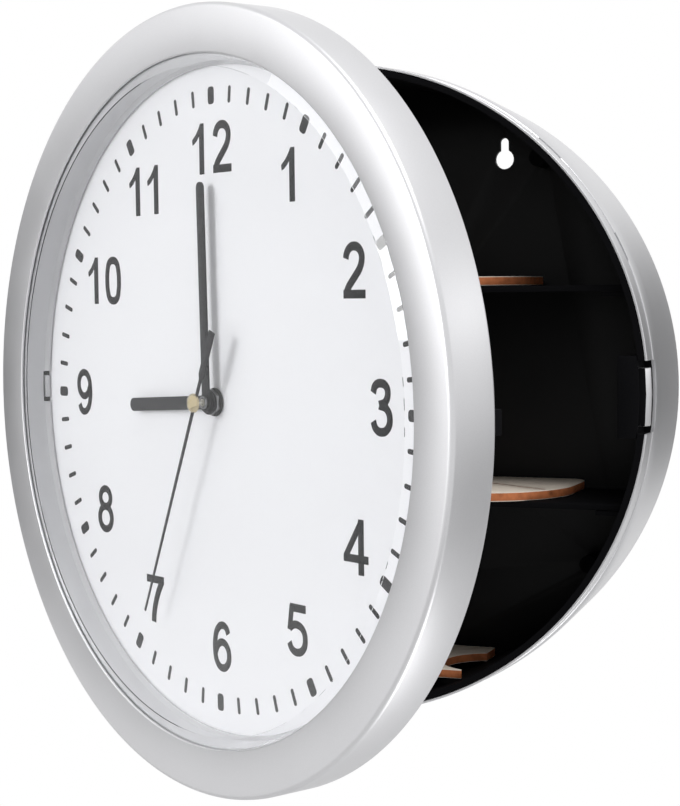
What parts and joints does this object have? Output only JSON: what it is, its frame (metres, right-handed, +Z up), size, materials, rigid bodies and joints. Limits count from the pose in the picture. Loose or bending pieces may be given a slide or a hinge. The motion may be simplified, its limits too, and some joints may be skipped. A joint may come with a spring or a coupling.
{
  "type": "clock diversion safe",
  "caption": "Round wall clock whose dial is a hinged door over a shallow safe with shelves, a sprung catch and a quartz movement that turns the hands.",
  "frame": {"origin": "centre of the case's flat back, which goes against the wall", "axes": "+Z up, +Y out of the back towards the wall, so the clock's face looks along -Y when the door is closed; at rest the door stands 30 degrees open"},
  "size_m": [0.3035, 0.2394, 0.315],
  "materials": {
    "case_silver": "satin silver paint",
    "black_plastic": "matt black",
    "plywood": "pale thin plywood with browned cut edges",
    "steel": "plain zinc-plated steel",
    "clear_lens": "clear flat glass",
    "grey_gloss": "glossy light grey",
    "dial_white": "white printed card",
    "battery_sleeve": "plain grey sleeve",
    "brass": "dull brass",
    "black_rubber": "black rubber",
    "copper_wire": null,
    "circuit_green": "green circuit board",
    "gear_white": "off-white moulded plastic",
    "hand_black": "flat dark grey paint"
  },
  "bodies": {
    "case": {"case_shell": "case_silver", "case_liner": "black_plastic", "back_plate": "black_plastic", "upper_shelf": "black_plastic", "lower_shelf": "black_plastic", "upper_board": "plywood", "lower_board": "plywood", "bottom_board": "plywood", "back_screw_1": "steel", "back_screw_2": "steel", "back_screw_3": "steel", "back_screw_4": "steel", "hinge_bracket": "black_plastic", "hinge_pin": "steel", "hinge_screw_upper": "steel", "hinge_screw_lower": "steel", "latch_guide": "black_plastic"},
    "latch": {"latch_tab": "case_silver"},
    "door": {"bezel_ring": "case_silver", "lens": "clear_lens", "recess_ring": "grey_gloss", "dial_plate": "dial_white", "dial_clip": "grey_gloss", "door_backing": "black_plastic", "strike_lug": "black_plastic", "door_screw_1": "steel", "door_screw_2": "steel", "door_screw_3": "steel", "door_screw_4": "steel", "movement_housing": "black_plastic", "movement_cover": "black_plastic", "battery": "battery_sleeve", "battery_contact_positive": "steel", "battery_contact_negative": "steel", "threaded_bushing": "brass", "dial_washer": "black_rubber", "mounting_nut": "steel", "motor_coil": "copper_wire", "motor_stator": "steel", "circuit_board": "circuit_green"},
    "seconds": {"second_hand": "hand_black", "second_hand_cap": "brass", "second_wheel": "gear_white"},
    "minutes": {"minute_hand": "hand_black", "minute_nut": "steel", "centre_wheel": "gear_white"},
    "hours": {"hour_hand": "hand_black", "hour_wheel": "gear_white"},
    "third": {"third_wheel": "gear_white"},
    "minute_setting": {"minute_wheel": "gear_white", "setting_knob": "black_plastic"},
    "stepping": {"stepping_wheel": "gear_white"},
    "rotor": {"rotor": "steel"}
  },
  "joints": [
    {"name": "door_hinge", "type": "hinge", "parent": "case", "child": "door", "pos_m": [-0.146, -0.081, 0], "axis": [0, 0, -1], "range_deg": [-30, 60]},
    {"name": "latch_press", "type": "slide", "parent": "case", "child": "latch", "axis": [-1, 0, 0], "range_m": [0, 0.0025], "stiffness_N_per_m": 400},
    {"name": "second_hand_spin", "type": "hinge", "parent": "door", "child": "seconds", "pos_m": [-0.01681, -0.14924, 0], "axis": [0.5, 0.866, 0], "continuous": true},
    {"name": "minute_hand_spin", "type": "hinge", "parent": "door", "child": "minutes", "pos_m": [-0.01681, -0.14924, 0], "axis": [0.5, 0.866, 0], "continuous": true},
    {"name": "hour_hand_spin", "type": "hinge", "parent": "door", "child": "hours", "pos_m": [-0.01681, -0.14924, 0], "axis": [0.5, 0.866, 0], "continuous": true},
    {"name": "third_wheel_spin", "type": "hinge", "parent": "door", "child": "third", "pos_m": [-0.02439, -0.14486, 0.00505], "axis": [0.5, 0.866, 0], "continuous": true},
    {"name": "setting_knob_spin", "type": "hinge", "parent": "door", "child": "minute_setting", "pos_m": [-0.00728, -0.15474, 0], "axis": [0.5, 0.866, 0], "continuous": true},
    {"name": "stepping_wheel_spin", "type": "hinge", "parent": "door", "child": "stepping", "pos_m": [-0.01252, -0.15171, 0.00857], "axis": [0.5, 0.866, 0], "continuous": true},
    {"name": "rotor_spin", "type": "hinge", "parent": "door", "child": "rotor", "pos_m": [-0.00622, -0.15535, 0.01277], "axis": [0.5, 0.866, 0], "continuous": true}
  ],
  "couplings": [
    {"joint": "minute_hand_spin", "follows": "second_hand_spin", "ratio": 0.016667},
    {"joint": "hour_hand_spin", "follows": "second_hand_spin", "ratio": 0.0013889},
    {"joint": "third_wheel_spin", "follows": "second_hand_spin", "ratio": -0.13333},
    {"joint": "setting_knob_spin", "follows": "second_hand_spin", "ratio": -0.0055556},
    {"joint": "stepping_wheel_spin", "follows": "second_hand_spin", "ratio": -6},
    {"joint": "rotor_spin", "follows": "second_hand_spin", "ratio": 30}
  ]
}
